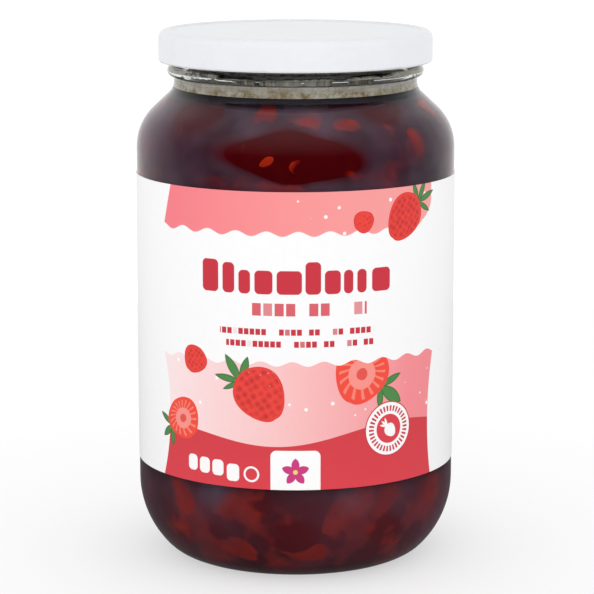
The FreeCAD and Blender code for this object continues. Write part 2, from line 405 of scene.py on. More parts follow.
# %% Turn the froth
FROTH_HEIGHT = 5.65 * MM
FROTH_DEPTH = 1.1 * MM
neck_inside = wall_radius(LEVEL)
froth_foot = LEVEL - 0.6 * MM
froth_section = evenly(
    [
        Vector((neck_inside - FROTH_DEPTH, froth_foot)),
        Vector((neck_inside + INTO_GLASS, froth_foot)),
        Vector((neck_inside - 0.28 * MM + INTO_GLASS, LEVEL + FROTH_HEIGHT)),
        Vector((neck_inside - FROTH_DEPTH * 0.6, LEVEL + FROTH_HEIGHT * 0.8)),
        Vector((neck_inside - FROTH_DEPTH, froth_foot)),
    ],
    0.5 * MM,
)
froth = turned("froth", [tuple(point) for point in froth_section], 240)
froth_rng = random.Random(5)
swells = [
    (froth_rng.randint(3, 40), froth_rng.uniform(0, math.tau), froth_rng.uniform(0.04, 0.12))
    for _ in range(9)
]
for point in froth.data.vertices:
    above = point.co.z - LEVEL
    if above > 0.3 * MM:
        around = math.atan2(point.co.y, point.co.x)
        drop = sum(rise * (1 + math.sin(count * around + start)) for count, start, rise in swells)
        point.co.z -= above * drop * 0.07

# %% [markdown]
# The foot of the froth is brown and grainy, and above it lie pale rings, one for each level at which the
# syrup has dried. The rings are a noise stretched sideways by a Mapping node.

# %% Finish the froth
RINGS_FROM = LEVEL + 2.0 * MM
grainy = Finish("dried_froth")
froth_place, _, _, froth_up = grainy.place()
bubbles = grainy.node("ShaderNodeTexVoronoi", None, {"Vector": froth_place, "Scale": 1500.0}, "Distance")
stain = grainy.noise(froth_place, 330.0, 4.0, 0.7)
in_rings = grainy.node("ShaderNodeMapping", None, {0: froth_place, 3: (70, 70, 1500)})
tide = grainy.noise(in_rings, 1.0, 2.0, 0.5)
wet = grainy.mix((stain * 4.5 - 1.7).held(), colour(184, 156, 110), colour(255, 250, 230))
dry = grainy.mix((tide * 4.5 - 1.7).held(), colour(222, 216, 196), colour(255, 254, 250))
crust = grainy.mix((froth_up - RINGS_FROM).edge(1.6 * MM), wet, dry)
froth_surface = grainy.principled(
    Base_Color=grainy.mix((bubbles * 1.2).held() * 0.5, crust, wet),
    Roughness=0.7,
    Normal=grainy.bump(bubbles + stain + tide, 0.25 * MM),
)
wear(froth, grainy.output(froth_surface))
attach(froth, "root")
print(f"froth has {len(froth.data.polygons)} faces")

# %% [markdown]
# ## Strawberries
# Soft preserved strawberries without their caps: whole ones, and ones cut in half that show a paler
# heart. One of each is shaped from a sphere by drawing its rings in, and the copies are turned,
# stretched and pressed flat where they meet the glass.


# %% Shape a whole and a cut strawberry
def ring_of(piece, low, high):
    """Selects the points between two heights, in edit mode."""
    bpy.ops.mesh.select_all(action="DESELECT")
    bpy.ops.object.mode_set(mode="OBJECT")
    for point in piece.data.vertices:
        point.select = low < point.co.z <= high
    bpy.ops.object.mode_set(mode="EDIT")


def strawberry(name):
    """A berry one unit across with its tip down and a shallow hollow where the cap was."""
    deselect()
    bpy.ops.mesh.primitive_uv_sphere_add(segments=36, ring_count=24, radius=0.5)
    piece = bpy.context.object
    piece.name = name
    bpy.ops.object.mode_set(mode="EDIT")
    bpy.context.tool_settings.mesh_select_mode = (True, False, False)
    bpy.ops.mesh.select_all(action="SELECT")
    bpy.ops.transform.resize(value=(1, 1, 1.22))
    bpy.ops.object.mode_set(mode="OBJECT")
    levels = sorted({round(point.co.z, 4) for point in piece.data.vertices})
    bpy.ops.object.mode_set(mode="EDIT")
    for height in levels:
        share = height / 0.61
        draw_in = 1 - 0.30 * max(0.0, -share) ** 0.8 + 0.10 * max(0.0, share)
        ring_of(piece, height - 0.001, height + 0.001)
        bpy.ops.transform.resize(value=(draw_in, draw_in, 1))
    ring_of(piece, 0.575, 1)
    bpy.ops.transform.translate(value=(0, 0, -0.09))
    bpy.ops.object.mode_set(mode="OBJECT")
    bpy.ops.object.shade_smooth()
    return piece


whole_berry = strawberry("whole_berry_model")
cut_berry = strawberry("cut_berry_model")
bpy.ops.object.mode_set(mode="EDIT")
bpy.ops.mesh.select_all(action="SELECT")
bpy.ops.mesh.bisect(plane_co=(0, 0, 0), plane_no=(0, -1, 0), use_fill=True, clear_outer=True)
bpy.ops.mesh.select_all(action="SELECT")
bpy.ops.mesh.normals_make_consistent(inside=False)
bpy.ops.object.mode_set(mode="OBJECT")
print(f"whole {len(whole_berry.data.polygons)}, cut {len(cut_berry.data.polygons)} faces")

# %% [markdown]
# The fruit at the front is placed one by one, as it lies in this jar. The rest is scattered over the two
# clear bands above and below the label, each berry clear of those before it.

# %% Place the fruit
rng = random.Random(29)
FLOOR_TOP = fill_low.z
# kind, degrees to the right of the front, height, depth of its middle behind the wall, length, width,
# turn, and tone from dark to bright. The first rows are pressed against the glass, each over the last.
PRESSED_FRUIT = (
    ("whole", -3, 128.0, 4.8, 42, 16, 94, 0.12),
    ("whole", 1, 126.2, 2.6, 15, 8, 96, 0.42),
    ("whole", -10, 127.6, 1.0, 8, 3.6, 62, 1.0),
)
FRONT_FRUIT = (
    ("cut", -6, 119.5, 2.2, 14, 6, 100, 0.8),
    ("cut", -13, 136.5, 2.4, 13, 6, 10, 0.75),
    ("cut", 4, 135.0, 2.6, 9, 6, 60, 0.7),
    ("cut", 20, 135.5, 1.6, 8, 4, 80, 0.95),
    ("whole", 16, 137.0, 11.5, 22, 15, 70, 0.1),
    ("cut", 50, 130.5, 1.5, 8, 5, 150, 0.95),
    ("whole", 38, 132.0, 12.0, 24, 18, 20, 0.1),
    ("whole", 35, 122.0, 8.6, 18, 13, 100, 0.5),
    ("whole", -50, 131.0, 10.6, 26, 19, 60, 0.1),
    ("cut", -27, 121.5, 3.4, 15, 9, 100, 0.7),
    ("cut", 4, 117.5, 5.6, 17, 11, 80, 0.5),
    ("whole", -62, 124.0, 9.5, 22, 16, 30, 0.3),
    ("cut", -46, 25.0, 0.8, 13, 7, 140, 0.95),
    ("whole", -14, 23.5, 7.0, 18, 14, 30, 0.5),
    ("cut", -24, 24.5, 1.4, 9, 7, 60, 0.85),
    ("whole", -4, 17.5, 8.6, 24, 18, 75, 0.25),
    ("cut", 19, 23.5, 1.6, 20, 8, 50, 0.8),
    ("cut", 35, 25.0, 2.0, 12, 7, 40, 0.75),
    ("whole", 58, 23.0, 8.0, 22, 15, 40, 0.65),
    ("cut", -27, 12.5, 0.4, 20, 6, 112, 1.0),
    ("whole", -36, 9.5, 8.6, 24, 15, 100, 0.45),
    ("cut", 0, 12.5, 0.4, 19, 7, 106, 0.95),
    ("whole", -10, 10.0, 8.8, 20, 14, 60, 0.5),
    ("whole", 30, 11.5, 9.4, 22, 17, 80, 0.35),
    ("whole", 50, 12.0, 9.0, 20, 16, 20, 0.5),
    ("whole", -60, 11.5, 9.2, 20, 16, 60, 0.4),
    ("whole", -34, 18.0, 7.6, 20, 13, 80, 0.35),
    ("whole", 12, 17.0, 7.6, 22, 14, 60, 0.4),
    ("whole", 33, 17.5, 6.4, 20, 14, 110, 0.45),
    ("whole", -50, 16.0, 6.8, 18, 13, 40, 0.4),
    ("cut", 46, 16.5, 2.0, 14, 9, 30, 0.6),
    ("whole", 2, 24.0, 8.0, 20, 13, 100, 0.35),
)


def fruit_place(degrees, height, depth, offset=Vector((0, 0, 0))):
    """A place behind the wall. An offset across, inwards and up is bent round the wall."""
    reach = wall_radius(height) - depth
    turn = math.radians(degrees) + offset.x / reach
    radius = reach - offset.y
    return Vector((radius * math.sin(turn), -radius * math.cos(turn), height + offset.z))


def pressed(point, proud):
    """A point kept inside the floor and the surface, and no further out than proud past the inner wall."""
    radius = math.hypot(point.x, point.y)
    height = min(max(point.z, FLOOR_TOP + 3.0 * MM), LEVEL - 1.5 * MM)
    most = wall_radius(height) + proud
    share = min(1.0, most / radius) if radius else 1.0
    return Vector((point.x * share, point.y * share, height))


def refined(piece):
    """Finer faces, for a berry whose outline shows against the glass."""
    choose(piece)
    bpy.ops.object.mode_set(mode="EDIT")
    bpy.ops.mesh.select_all(action="SELECT")
    bpy.ops.mesh.subdivide(number_cuts=3, smoothness=0.0)
    bpy.ops.object.mode_set(mode="OBJECT")


LUMP_WAVES = 5.2
LUMP_RISE = 0.045
placed = []
copies = {"whole": [], "cut": []}


def add_fruit(kind, degrees, height, depth, length, width, roll, shade, proud=-0.3 * MM, loose=0.3):
    """Copies a model, sized in millimetres, with its long side lying along the wall.

    proud is how far past the inner wall it may stand, and loose how freely it turns from that place.
    """
    model = whole_berry if kind == "whole" else cut_berry
    fruit = model.copy()
    fruit.data = model.data.copy()
    scene.collection.objects.link(fruit)
    if proud > 0:
        refined(fruit)
    facing = Matrix.Rotation(math.radians(rng.uniform(-18, 18) * loose), 4, "Z")
    rolled = Matrix.Rotation(math.radians(roll), 4, "Y")
    tipped = Matrix.Rotation(math.radians(rng.uniform(-15, 15) * loose), 4, "X")
    across = width * MM
    thick = across * (rng.uniform(0.85, 1.0) if kind == "whole" else rng.uniform(1.0, 1.3))
    sized = Matrix.Diagonal((across, thick, length * MM / 1.2, 1))
    fruit.data.transform(facing @ rolled @ tipped @ sized)
    lumps = [rng.uniform(0, math.tau) for _ in range(3)]
    for point in fruit.data.vertices:
        away = point.co / across
        lump = sum(math.sin(LUMP_WAVES * away[axis] + lumps[axis]) for axis in range(3)) * LUMP_RISE
        swollen = point.co * (1 + lump)
        point.co = pressed(fruit_place(degrees, height * MM, depth * MM, swollen), proud)
    tone = fruit.data.attributes.new("tone", "FLOAT", "POINT")
    tone.data.foreach_set("value", [shade] * len(fruit.data.vertices))
    copies[kind].append(fruit)
    placed.append((fruit_place(degrees, height * MM, depth * MM), (length + 2 * width) * MM / 6))


for step, row in enumerate(PRESSED_FRUIT):
    add_fruit(*row, proud=INTO_GLASS + (step + 1) * 0.08 * MM)
for row in FRONT_FRUIT:
    add_fruit(*row)
CLEAR_BANDS = ((117, 139, 44), (9, 27, 40))  # lowest, highest, how many
TRIES = 4000
CLOSENESS = 0.86  # 1 would keep the scattered berries from touching
for low, high, wanted in CLEAR_BANDS:
    for _ in range(TRIES):
        degrees, height = rng.uniform(70, 290), rng.uniform(low, high)
        width = rng.uniform(7, 17)
        depth = width * rng.uniform(0.46, 0.62)
        length = width * rng.uniform(1.15, 1.6)
        middle = fruit_place(degrees, height * MM, depth * MM)
        reach = (length + 2 * width) * MM / 6
        if wanted and all((middle - other).length > CLOSENESS * (reach + size) for other, size in placed):
            kind = rng.choice(("whole", "cut"))
            add_fruit(
                kind, degrees, height, depth, length, width, rng.uniform(0, 180), rng.random(), loose=1
            )
            wanted -= 1
print(f"{len(copies['whole'])} whole strawberries, {len(copies['cut'])} cut ones")

# %% [markdown]
# All the whole berries become one piece and all the cut ones another, so that the list of pieces stays
# short. The two models that they were copied from are thrown away.

# %% Join each kind
def joined(name, parts):
    deselect()
    for part in parts:
        part.select_set(True)
    bpy.context.view_layer.objects.active = parts[0]
    bpy.ops.object.join()
    piece = bpy.context.object
    piece.name = name
    return piece


whole_strawberries = joined("whole_strawberries", copies["whole"])
cut_strawberries = joined("cut_strawberries", copies["cut"])
for model in (whole_berry, cut_berry):
    bpy.data.objects.remove(model)

# %% [markdown]
# ## How much fruit each point of the skin sees
# From each point of the syrup's skin a few rays go inwards. Fruit that one meets shows through the
# cloud, less and less with depth. The share is kept on the mesh as an attribute for the material.


# %% Measure the fruit behind the skin
SIGHT = 4.2 * MM
RAY_RINGS = ((0.0, 1), (0.35, 5), (0.85, 8))
RAY_LEANS = [
    (lean * math.cos(math.tau * k / count), lean * math.sin(math.tau * k / count))
    for lean, count in RAY_RINGS
    for k in range(count)
]


def fruit_tree(pieces):
    """All the fruit as one tree to aim rays at, with the tone of each face."""
    corners, faces, tones = [], [], []
    for piece in pieces:
        first = len(corners)
        corners += [point.co for point in piece.data.vertices]
        tone = piece.data.attributes["tone"].data
        for face in piece.data.polygons:
            faces.append([first + corner for corner in face.vertices])
            tones.append(tone[face.vertices[0]].value)
    return BVHTree.FromPolygons(corners, faces), tones


def mark_fruit(skin_piece, pieces):
    """Gives each point of the skin how much fruit shows there and how bright that fruit is."""
    tree, tones = fruit_tree(pieces)
    shown, bright = [], []
    for point in skin_piece.data.vertices:
        inward = -point.normal
        side = inward.orthogonal().normalized()
        other = inward.cross(side)
        total = tinted = 0.0
        for first, second in RAY_LEANS:
            way = inward + side * first + other * second
            _, _, face, gap = tree.ray_cast(point.co - way * 0.5 * MM, way, 20 * MM)
            if face is not None:
                share = math.exp(-max(0.0, gap - 0.6 * MM) / SIGHT)
                total += share
                tinted += share * tones[face]
        shown.append(total / len(RAY_LEANS))
        bright.append(tinted / total if total else 0.0)
    for name, values in (("fruit", shown), ("fruit_tone", bright)):
        skin_piece.data.attributes.new(name, "FLOAT", "POINT").data.foreach_set("value", values)
    return shown


shown = mark_fruit(syrup, (whole_strawberries, cut_strawberries))
print(f"fruit shows at {sum(value > 0.3 for value in shown)} of {len(shown)} points")

# %% [markdown]
# Soaked fruit is dark red outside and orange-red where it is torn, and is painted lighter red near the
# foot for the light that comes through there. The syrup is purple and cloudy, with paler swirls, painted
# redder near the foot for the same light, and painted almost black at the brim as shade, where the eye
# looks along the surface. The fruit's colour is mixed in by the attributes just made. Neither is shiny,
# because all the shine comes from the glass in front.

# %% Finish the fruit and the syrup
def soaked_fruit(finish, point, height, pale_share):
    """The colour of soft fruit soaked in syrup: dark skin, painted lighter red near the foot for the light
    that comes through there, and orange-red where it is torn or cut.
    """
    # Painted light: near the foot the dark skin is mixed towards a lighter red.
    foot = (1.4 - height * 18).held()
    patches = finish.noise(point, 95.0, 2.5, 0.55)
    mottle = finish.noise(point, 210.0, 3.0)
    dark = finish.mix(mottle, colour(82, 5, 13), colour(108, 13, 19))
    dark = finish.mix(foot, dark, colour(122, 14, 22))
    bright = finish.mix(mottle, colour(176, 22, 16), colour(232, 66, 32))
    return finish.mix((patches * 8 + (pale_share - 5.3)).held(), dark, bright), mottle


def fruit_finish(name, pale_share):
    fruit = Finish(name)
    point, _, _, height = fruit.place()
    tone = fruit.node("ShaderNodeAttribute", {"attribute_name": "tone"}, None, "Fac")
    flesh, mottle = soaked_fruit(fruit, point, height, tone * 4.4 + pale_share)
    surface = fruit.principled(
        Base_Color=flesh,
        Roughness=0.85,
        Specular_IOR_Level=0.0,
        Normal=fruit.bump(mottle, 0.15 * MM),
    )
    return fruit.output(surface)


# degrees to the right of the front, height and reach in millimetres of cloudy swirls
SWIRLS = ((-25, 129, 8), (-17, 134, 8), (9, 135.5, 9), (22, 26, 6), (-30, 28, 7))
SWIRL_COLOUR = colour(122, 102, 122)
# Painted shade: the syrup is painted almost black in a band below its surface, where the eye looks along
# it.
BRIM_SHADE_COLOUR = colour(12, 13, 26)
BRIM_SHADE_DEPTH = 3.4 * MM


def syrup_finish():
    """Cloudy purple syrup in which fruit glows where it comes near the glass."""
    liquid = Finish("fruit_syrup")
    point, _, _, height = liquid.place()
    near = liquid.node("ShaderNodeAttribute", {"attribute_name": "fruit"}, None, "Fac")
    cloud = liquid.noise(point, 30.0, 3.0, 0.55)
    # Painted light: the syrup is painted redder towards the foot, where more light comes through.
    clear = liquid.mix((height * 12).held(), colour(88, 30, 44), colour(56, 32, 48))
    hazy = liquid.mix((height * 12).held(), colour(122, 64, 80), colour(114, 88, 106))
    base = liquid.mix((cloud * 3.6 - 1.25).held(), clear, hazy)
    for degrees, up, reach in SWIRLS:
        middle = fruit_place(degrees, up * MM, 0)
        distance = {"operation": "DISTANCE"}
        away = liquid.node("ShaderNodeVectorMath", distance, {0: point, 1: middle}, "Value")
        swirl = (reach * MM - away) / (reach * MM) + cloud * 1.6 - 0.8
        base = liquid.mix(swirl.held(), base, SWIRL_COLOUR)
    tone = liquid.node("ShaderNodeAttribute", {"attribute_name": "fruit_tone"}, None, "Fac")
    flesh, _ = soaked_fruit(liquid, point, height, tone * 4.4 - 0.3)
    veiled = liquid.mix(0.07, flesh, base)
    body = liquid.mix(near.maths("POWER", 1.35).held(), base, veiled)
    # Painted shade: the dark band below the surface of the syrup.
    brim_shade = (height - (LEVEL - BRIM_SHADE_DEPTH)).edge(2.4 * MM)
    body = liquid.mix(brim_shade * 0.9, body, BRIM_SHADE_COLOUR)
    surface = liquid.principled(Base_Color=body, Roughness=0.9, Specular_IOR_Level=0.0)
    return liquid.output(surface)


wear(whole_strawberries, fruit_finish("strawberry_skin", -0.3))
wear(cut_strawberries, fruit_finish("strawberry_flesh", -0.3))
wear(syrup, syrup_finish())
for piece in (syrup, whole_strawberries, cut_strawberries):
    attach(piece, "root")
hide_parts("contents")


# %% [markdown]
# ## The printed label
# The label is offset-printed paper: flat fields of colour, a wavy edge, drawn strawberries and rows of
# small marks. Each shape is a distance in millimetres, worked out on the unrolled paper: across is to
# the right of the middle of the front, up is above the foot. No picture file is needed, and the edges
# stay sharp at any size. Where a real label would carry words there are only plain blocks.


# %% Draw on unrolled paper
class Print(Finish):
    """A finish that draws flat shapes on the unrolled label, one over another."""

    SHARP = 0.16

    def __init__(self, name):
        super().__init__(name)
        self.point, x, y, z = self.place()
        self.u = x.maths("ARCTAN2", -y) * (label_high.x / MM)
        self.v = (z - label_low.z) / MM
        self.paper = self.node("ShaderNodeCombineXYZ", None, {0: self.u, 1: self.v})
        self.ink = None

    def lay(self, mask, shade):
        """Lays a colour over what is printed so far."""
        self.ink = self.mix(mask, self.ink, shade)

    def local(self, middle, degrees=0.0, size=(1.0, 1.0)):
        """Places across and up as seen from a point, turned by an angle and in units of a size."""
        settings = {"vector_type": "TEXTURE"}
        turn = (0, 0, math.radians(degrees))
        inputs = {0: self.paper, 1: (*middle, 0), 2: turn, 3: (*size, 1)}
        return self.node("ShaderNodeMapping", settings, inputs)

    def vector(self, operation, *values, output="Vector"):
        return self.node("ShaderNodeVectorMath", {"operation": operation}, dict(enumerate(values)), output)

    def within(self, length, most, scale=1.0):
        """1 where a length is under the most it may be, in units of a scale of millimetres."""
        slope = scale / self.SHARP
        return length.maths("MULTIPLY_ADD", -slope, most * slope + 0.5, clamp=True)

    def above(self, distance):
        """1 where a distance is above nought."""
        return distance.maths("MULTIPLY_ADD", 1 / self.SHARP, 0.5, clamp=True)

    def disc(self, middle):
        return self.vector("LENGTH", self.local(middle), output="Value")

    def block(self, middle, width, height, round_off, degrees=0.0):
        """Mask of a block with rounded corners."""
        corner = (width / 2 - round_off, height / 2 - round_off, 0)
        past = self.vector("SUBTRACT", self.vector("ABSOLUTE", self.local(middle, degrees)), corner)
        past = self.vector("MAXIMUM", past, (0, 0, 0))
        return self.within(self.vector("LENGTH", past, output="Value"), round_off)

    def leaf(self, root, degrees, length, width):
        """A pointed leaf, the lens where two circles cross, as a length from the middle of one circle."""
        turn = math.radians(degrees)
        middle = (root[0] + math.cos(turn) * length / 2, root[1] + math.sin(turn) * length / 2)
        bow = (length * length / 4 - width * width / 4) / width
        side = self.vector("ADD", self.vector("ABSOLUTE", self.local(middle, degrees)), (0, bow, 0))
        return self.vector("LENGTH", side, output="Value"), bow + width / 2

    def berry(self, middle, degrees, size, taper=0.3):
        """A rounded heart with its tip down: a length that is 1 at its edge, and the place inside it."""
        unit = self.local(middle, degrees, (size[0] / 2, size[1] / 2))
        across, along, _ = self.parts(unit)
        wide = along.maths("MULTIPLY_ADD", taper, 1.0 - taper * 0.25)
        across = across / wide
        dip = abs(across).maths("MULTIPLY_ADD", 0.14, along)
        shape = self.node("ShaderNodeCombineXYZ", None, {0: across, 1: dip})
        return self.vector("LENGTH", shape, output="Value"), unit

    def dots(self, place, scale, looseness, radius):
        """Dots spread over a place, from a cell pattern."""
        inputs = {"Vector": place, "Scale": scale, "Randomness": looseness}
        away = self.node("ShaderNodeTexVoronoi", None, inputs, "Distance")
        return self.within(away, radius * scale, 1 / scale)

    def rows(self, middle, size, pitch, row, mark, seed):
        """Rows of small upright blocks in a box, with a gap here and there, in place of words."""
        inputs = {"Vector": self.local((middle[0] + seed * pitch, middle[1] - size[1] / 2))}
        inputs |= {"Color1": (0, 0, 0, 1), "Color2": (1, 1, 1, 1), "Mortar": (0, 0, 0, 1), "Scale": 1.0}
        inputs |= {"Mortar Size": (row - mark) / 2, "Mortar Smooth": 0.2, "Bias": 0.0}
        inputs |= {"Brick Width": pitch, "Row Height": row}
        settings = {"offset": 0.37, "squash": 1.35, "squash_frequency": 2}
        luck = self.node("ShaderNodeTexBrick", settings, inputs, "Color")
        shade = self.node("ShaderNodeSeparateColor", None, {0: luck}, 0)
        kept = shade.maths("MULTIPLY_ADD", 9.0, -1.2, clamp=True)
        return kept * self.block(middle, *size, 0.2)


# %% [markdown]
# The fields: a pink band with a wavy foot at the top, white in the middle, a pale band that deepens
# to the right, and a red swell at the foot. Their sides are drawn in a little, like a tag.

# %% Print the fields
label = Print("label_print")
u, v = label.u, label.v
WAVE_LENGTH = 9.3


def wavy(length, phase, rise):
    return u.maths("MULTIPLY_ADD", math.tau / length, phase).maths("SINE") * rise


grain = label.noise(label.point, 700.0, 3.0, 0.6)
label.ink = label.mix(grain, colour(247, 247, 248), colour(252, 252, 252))
across_front = u.maths("MULTIPLY_ADD", 1 / 92, 0.5, clamp=True)
stops = ((0.05, colour(248, 126, 136)), (0.5, colour(249, 149, 150)), (0.95, colour(248, 162, 160)))
top_pink = label.node("ShaderNodeValToRGB", {"stops": stops}, {0: across_front})
stops = ((0.05, colour(252, 228, 229)), (0.5, colour(250, 192, 192)), (0.9, colour(246, 142, 148)))
low_pink = label.node("ShaderNodeValToRGB", {"stops": stops}, {0: across_front})

top_left = u - (v - 77.4).highest(0).maths("MULTIPLY_ADD", 0.28, -45.0)
top_right = (84 - v).highest(0).maths("POWER", 2).maths("MULTIPLY_ADD", -0.12, 47.4) - u
top_sides = label.above(top_left.lowest(top_right))
top_field = label.above(v - wavy(WAVE_LENGTH, 1.0, 0.75) - 76.4) * top_sides
label.lay(top_field, top_pink)

low_left = (v - 20).maths("POWER", 2).maths("MULTIPLY_ADD", 0.0085, 42.7) + u
low_right = (v - 17).maths("POWER", 2).maths("MULTIPLY_ADD", 0.006, 46.3) - u
sides = label.above(low_left.lowest(low_right))
low_band = label.above(wavy(WAVE_LENGTH, 2.2, 0.7) - v + 37.9)
low_field = low_band * sides
label.lay(low_field, low_pink)

swell_wave = u.maths("MULTIPLY_ADD", math.tau / 72, 5 * math.tau / 72).maths("COSINE") * -2.4
swell = u.maths("MULTIPLY_ADD", 0.03, 15.6) + swell_wave
swell_mask = label.above(swell - v) * sides
label.lay(swell_mask, label.mix(v / 16, colour(224, 62, 74), colour(217, 58, 68)))
speckled = (top_field * label.above(u + 4)).highest(low_field - swell_mask)
specks = label.dots(label.paper, 0.24, 1.0, 0.56) * speckled
label.lay(specks, colour(255, 250, 250))
print(f"fields printed with {len(label.tree.nodes)} nodes")

# %% [markdown]
# The strawberries: whole ones with dark seeds, and cut ones with a pale heart and veins that fan out.
# A whole berry is a rounded heart; its leaves are pointed lenses that meet at the cap.

# %% Print the strawberries
BERRY_RED = colour(238, 64, 54)
BERRY_EDGE = colour(226, 52, 50)
SEED_RED = colour(188, 34, 40)
LEAF_GREEN = colour(80, 142, 74)
LEAF_DARK = colour(60, 116, 60)
VEIN_PINK = colour(250, 134, 118)
CUT_RED = colour(246, 74, 56)
HEART_PINK = colour(250, 148, 138)


def print_leaves(cap, leaves):
    for degrees, length, width in leaves:
        side, most = label.leaf(cap, degrees, length, width)
        label.lay(label.within(side, most), LEAF_DARK)
        label.lay(label.within(side, most - 0.3), LEAF_GREEN)


def print_berry(middle, degrees, size, seed_scale, taper=0.3):
    """Draws a whole berry and gives its mask."""
    body, unit = label.berry(middle, degrees, size, taper)
    half = min(size) / 2
    mask = label.within(body, 1.0, half)
    label.lay(mask, BERRY_EDGE)
    label.lay(label.within(body, 1 - 0.35 / half, half), BERRY_RED)
    drops = label.dots(unit, seed_scale, 0.35, 0.075) * label.within(body, 1 - 0.8 / half, half)
    label.lay(drops, SEED_RED)
    return mask


def print_slice(middle, degrees, size, shown=1.0):
    """Draws a cut berry: red flesh, veins that fan out and a pale heart with a hollow."""
    body, unit = label.berry(middle, degrees, size, 0.3)
    half = min(size) / 2
    flesh = label.within(body, 1.0, half) * shown
    label.lay(flesh, CUT_RED)
    across, along, _ = label.parts(unit)
    fan = across.maths("ARCTAN2", along - 0.2)
    rays = abs((fan * 9 + body * 2.2).maths("SINE"))
    veins = rays.maths("MULTIPLY_ADD", 7.0, -5.6, clamp=True) * label.within(body, 0.86, half)
    label.lay(veins * shown, VEIN_PINK)
    label.lay(label.within(body, 0.5, half) * shown, HEART_PINK)
    label.lay(label.within(body, 0.2, half) * shown, colour(232, 84, 74))


print_berry((-32.1, 37.4), -32, (9.6, 8.4), 3.4)
print_berry((20.6, 79.5), 118, (7.2, 6.6), 2.8)
print_leaves((40.8, 83.6), ((110, 6.6, 1.9), (62, 7.4, 2.0), (20, 8.2, 2.0), (-30, 6.4, 1.7)))
print_berry((35.2, 79.8), -38, (13.6, 15.2), 4.2)
print_leaves((-16.4, 32.2), ((122, 9.4, 2.8), (74, 8.0, 2.6), (170, 8.6, 2.2), (205, 6.4, 1.6)))
big = print_berry((-10.6, 28.6), 34, (16.6, 17.2), 3.8)
lit_side = (v - 30.5 + u * 0.5).maths("MULTIPLY_ADD", 0.3, 1.4, clamp=True)
sparkle = label.dots(label.paper, 0.72, 1.0, 0.16) * big * lit_side
label.lay(sparkle, colour(252, 190, 176))
print_leaves((-41.8, 15.8), ((150, 6.6, 1.9), (222, 5.8, 2.3), (272, 6.6, 2.0)))
print_slice((-37.0, 18.8), 38, (14.6, 12.4))
print_leaves((26.4, 29.8), ((24, 8.2, 2.2), (-36, 9.4, 4.0), (-92, 7.0, 2.2)))
print_slice((20.2, 34.2), -24, (19.0, 18.4), low_band)
print(f"strawberries printed with {len(label.tree.nodes)} nodes")

# %% [markdown]
# In place of words: one row of heavy blocks where the name would be, lighter rows below it, a round
# seal with ticks and a berry, a weight panel of white blocks, and a white tab with a blossom.

# %% Print the blocks, the seal and the tab
TITLE_RED = colour(206, 46, 62)
SOFT_RED = colour(222, 96, 106)
BLOCK_WHITE = colour(253, 251, 251)
TITLE_FOOT = 58.6
for middle, width, height in (
    (-26.2, 5.4, 9.6),
    (-20.2, 3.8, 9.0),
    (-15.2, 3.6, 7.0),
    (-9.4, 5.4, 7.0),
    (-1.8, 7.4, 7.0),
    (5.2, 4.6, 9.6),
    (11.0, 4.8, 7.0),
    (15.8, 2.9, 7.0),
    (20.0, 3.0, 7.0),
    (26.4, 6.2, 7.0),
):
    label.lay(label.block((middle, TITLE_FOOT + height / 2), width, height, 1.4), TITLE_RED)
label.lay(label.rows((0.8, 53.9), (41.6, 4.1), 2.5, 4.6, 3.8, 3), SOFT_RED)
label.lay(label.rows((1.0, 47.3), (48.0, 2.0), 1.3, 2.5, 2.1, 4), TITLE_RED)
label.lay(label.rows((1.5, 43.7), (45.0, 2.0), 1.3, 2.5, 2.1, 7), TITLE_RED)

SEAL = (29.5, 16.7)
from_seal = label.disc(SEAL)
label.lay(label.within(from_seal, 8.3), TITLE_RED)
label.lay(label.within(from_seal, 7.95), BLOCK_WHITE)
seal_across, seal_up, _ = label.parts(label.local(SEAL))
clock = abs((seal_across.maths("ARCTAN2", seal_up) * (34 / math.tau)).maths("FRACT") - 0.5)
ticks = label.within(clock, 0.27) * label.within(from_seal, 7.0) * (1 - label.within(from_seal, 5.3))
label.lay(ticks, TITLE_RED)
label.lay(label.within(from_seal, 4.4), colour(224, 62, 76))
seal_berry, _ = label.berry((SEAL[0] + 0.5, SEAL[1] - 0.5), 40, (4.2, 4.4))
label.lay(label.within(seal_berry, 1.0, 2.1), BLOCK_WHITE)
for degrees in (170, 140, 110):
    side, most = label.leaf((SEAL[0] - 0.6, SEAL[1] + 0.8), degrees, 2.7, 0.7)
    label.lay(label.within(side, most), BLOCK_WHITE)

for middle, width, height, foot in (
    (-33.0, 3.4, 4.8, 3.6),
    (-28.6, 3.6, 4.8, 3.3),
    (-24.0, 3.8, 4.8, 3.1),
    (-19.0, 4.0, 5.2, 1.9),
):
    label.lay(label.block((middle, foot + height / 2), width, height, 1.3), BLOCK_WHITE)
from_mark = label.disc((-13.2, 4.4))
label.lay(label.within(from_mark, 2.4) * (1 - label.within(from_mark, 1.8)), BLOCK_WHITE)

label.lay(label.block((0, 3.0), 14.8, 17.8, 1.8), colour(253, 253, 253))
for petal in range(5):
    side, most = label.leaf((0, 5.4), petal * 72 + 18, 4.2, 2.4)
    label.lay(label.within(side, most), colour(206, 56, 128))
label.lay(label.within(label.disc((0, 5.4)), 0.7), colour(250, 210, 120))
print(f"blocks printed with {len(label.tree.nodes)} nodes")

# %% [markdown]
# The back carries what a real label has there, again without words: rows of fine marks and a table.

